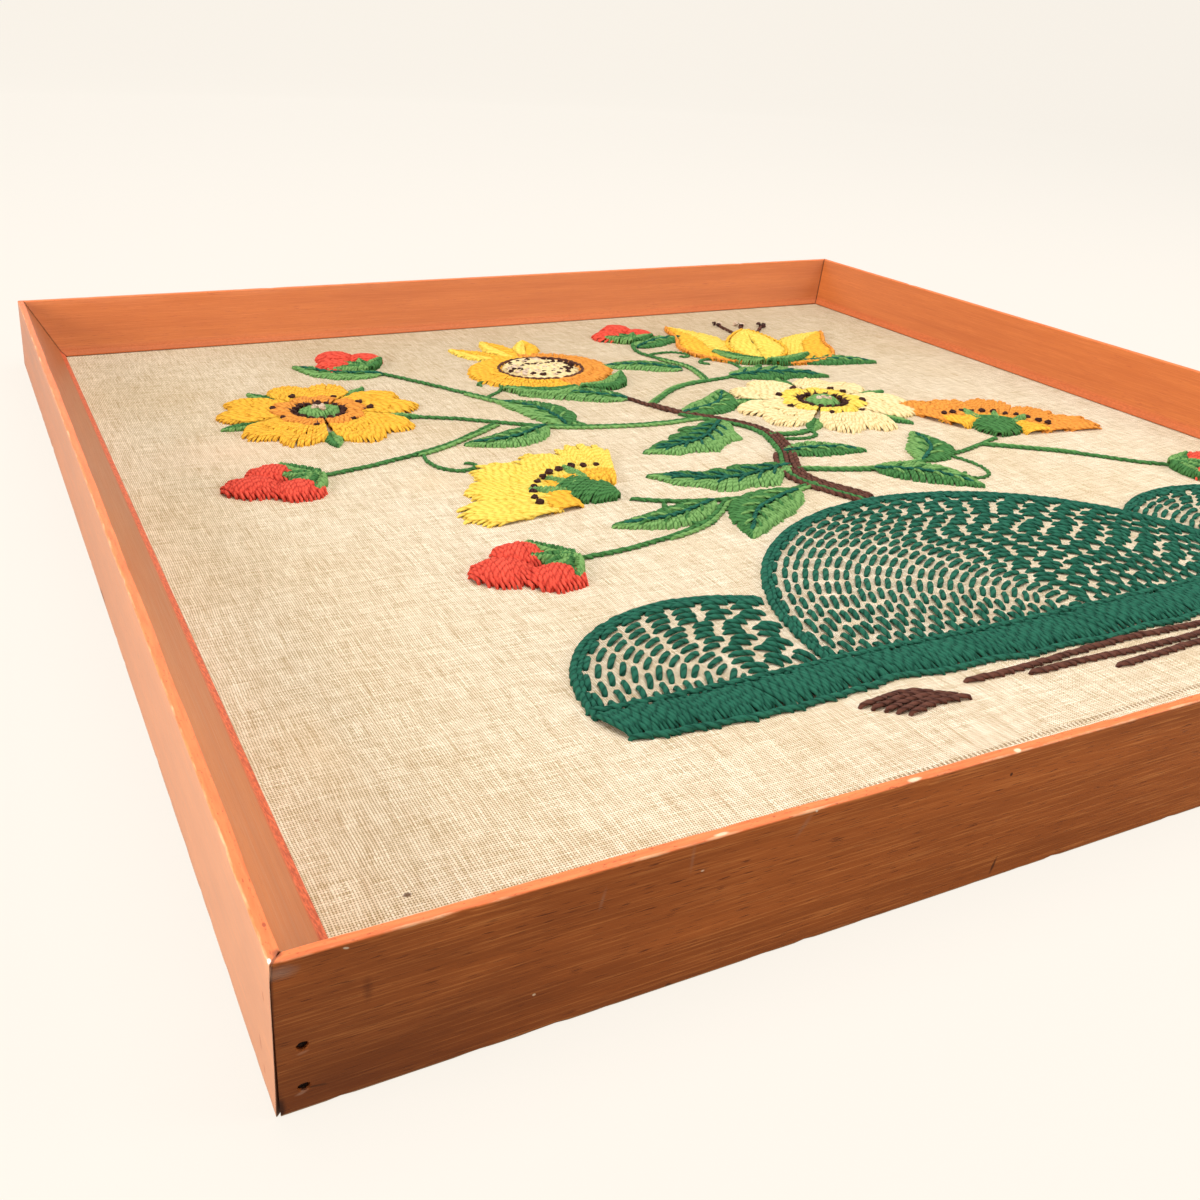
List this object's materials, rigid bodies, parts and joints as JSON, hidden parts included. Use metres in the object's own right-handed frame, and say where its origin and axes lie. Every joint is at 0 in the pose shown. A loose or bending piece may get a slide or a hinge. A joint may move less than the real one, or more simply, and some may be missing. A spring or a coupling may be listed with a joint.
{
  "type": "crewel embroidery panel in a wooden frame",
  "caption": "Crewel wool embroidery on stretched linen, set deep in a mitred and nailed wooden picture frame of wedge-shaped moulding.",
  "frame": {"origin": "middle of the frame on its back plane, on which it lies", "axes": "+Z out of the picture, +Y up the picture, +X to the picture's right"},
  "size_m": [0.61, 0.635, 0.04],
  "materials": {
    "frame_wood": "stained and worn, satin",
    "nail_steel": "rusted dark",
    "linen_cloth": "natural linen, slubby plain weave",
    "crewel_wool": "two-ply wool stitches in several colours"
  },
  "bodies": {
    "root": {"bottom_rail": "frame_wood", "top_rail": "frame_wood", "left_rail": "frame_wood", "right_rail": "frame_wood", "nail_bottom_left_1": "nail_steel", "nail_bottom_left_2": "nail_steel", "nail_bottom_right_1": "nail_steel", "nail_bottom_right_2": "nail_steel", "nail_top_left_1": "nail_steel", "nail_top_left_2": "nail_steel", "nail_top_right_1": "nail_steel", "nail_top_right_2": "nail_steel", "linen": "linen_cloth"}
  },
  "joints": []
}
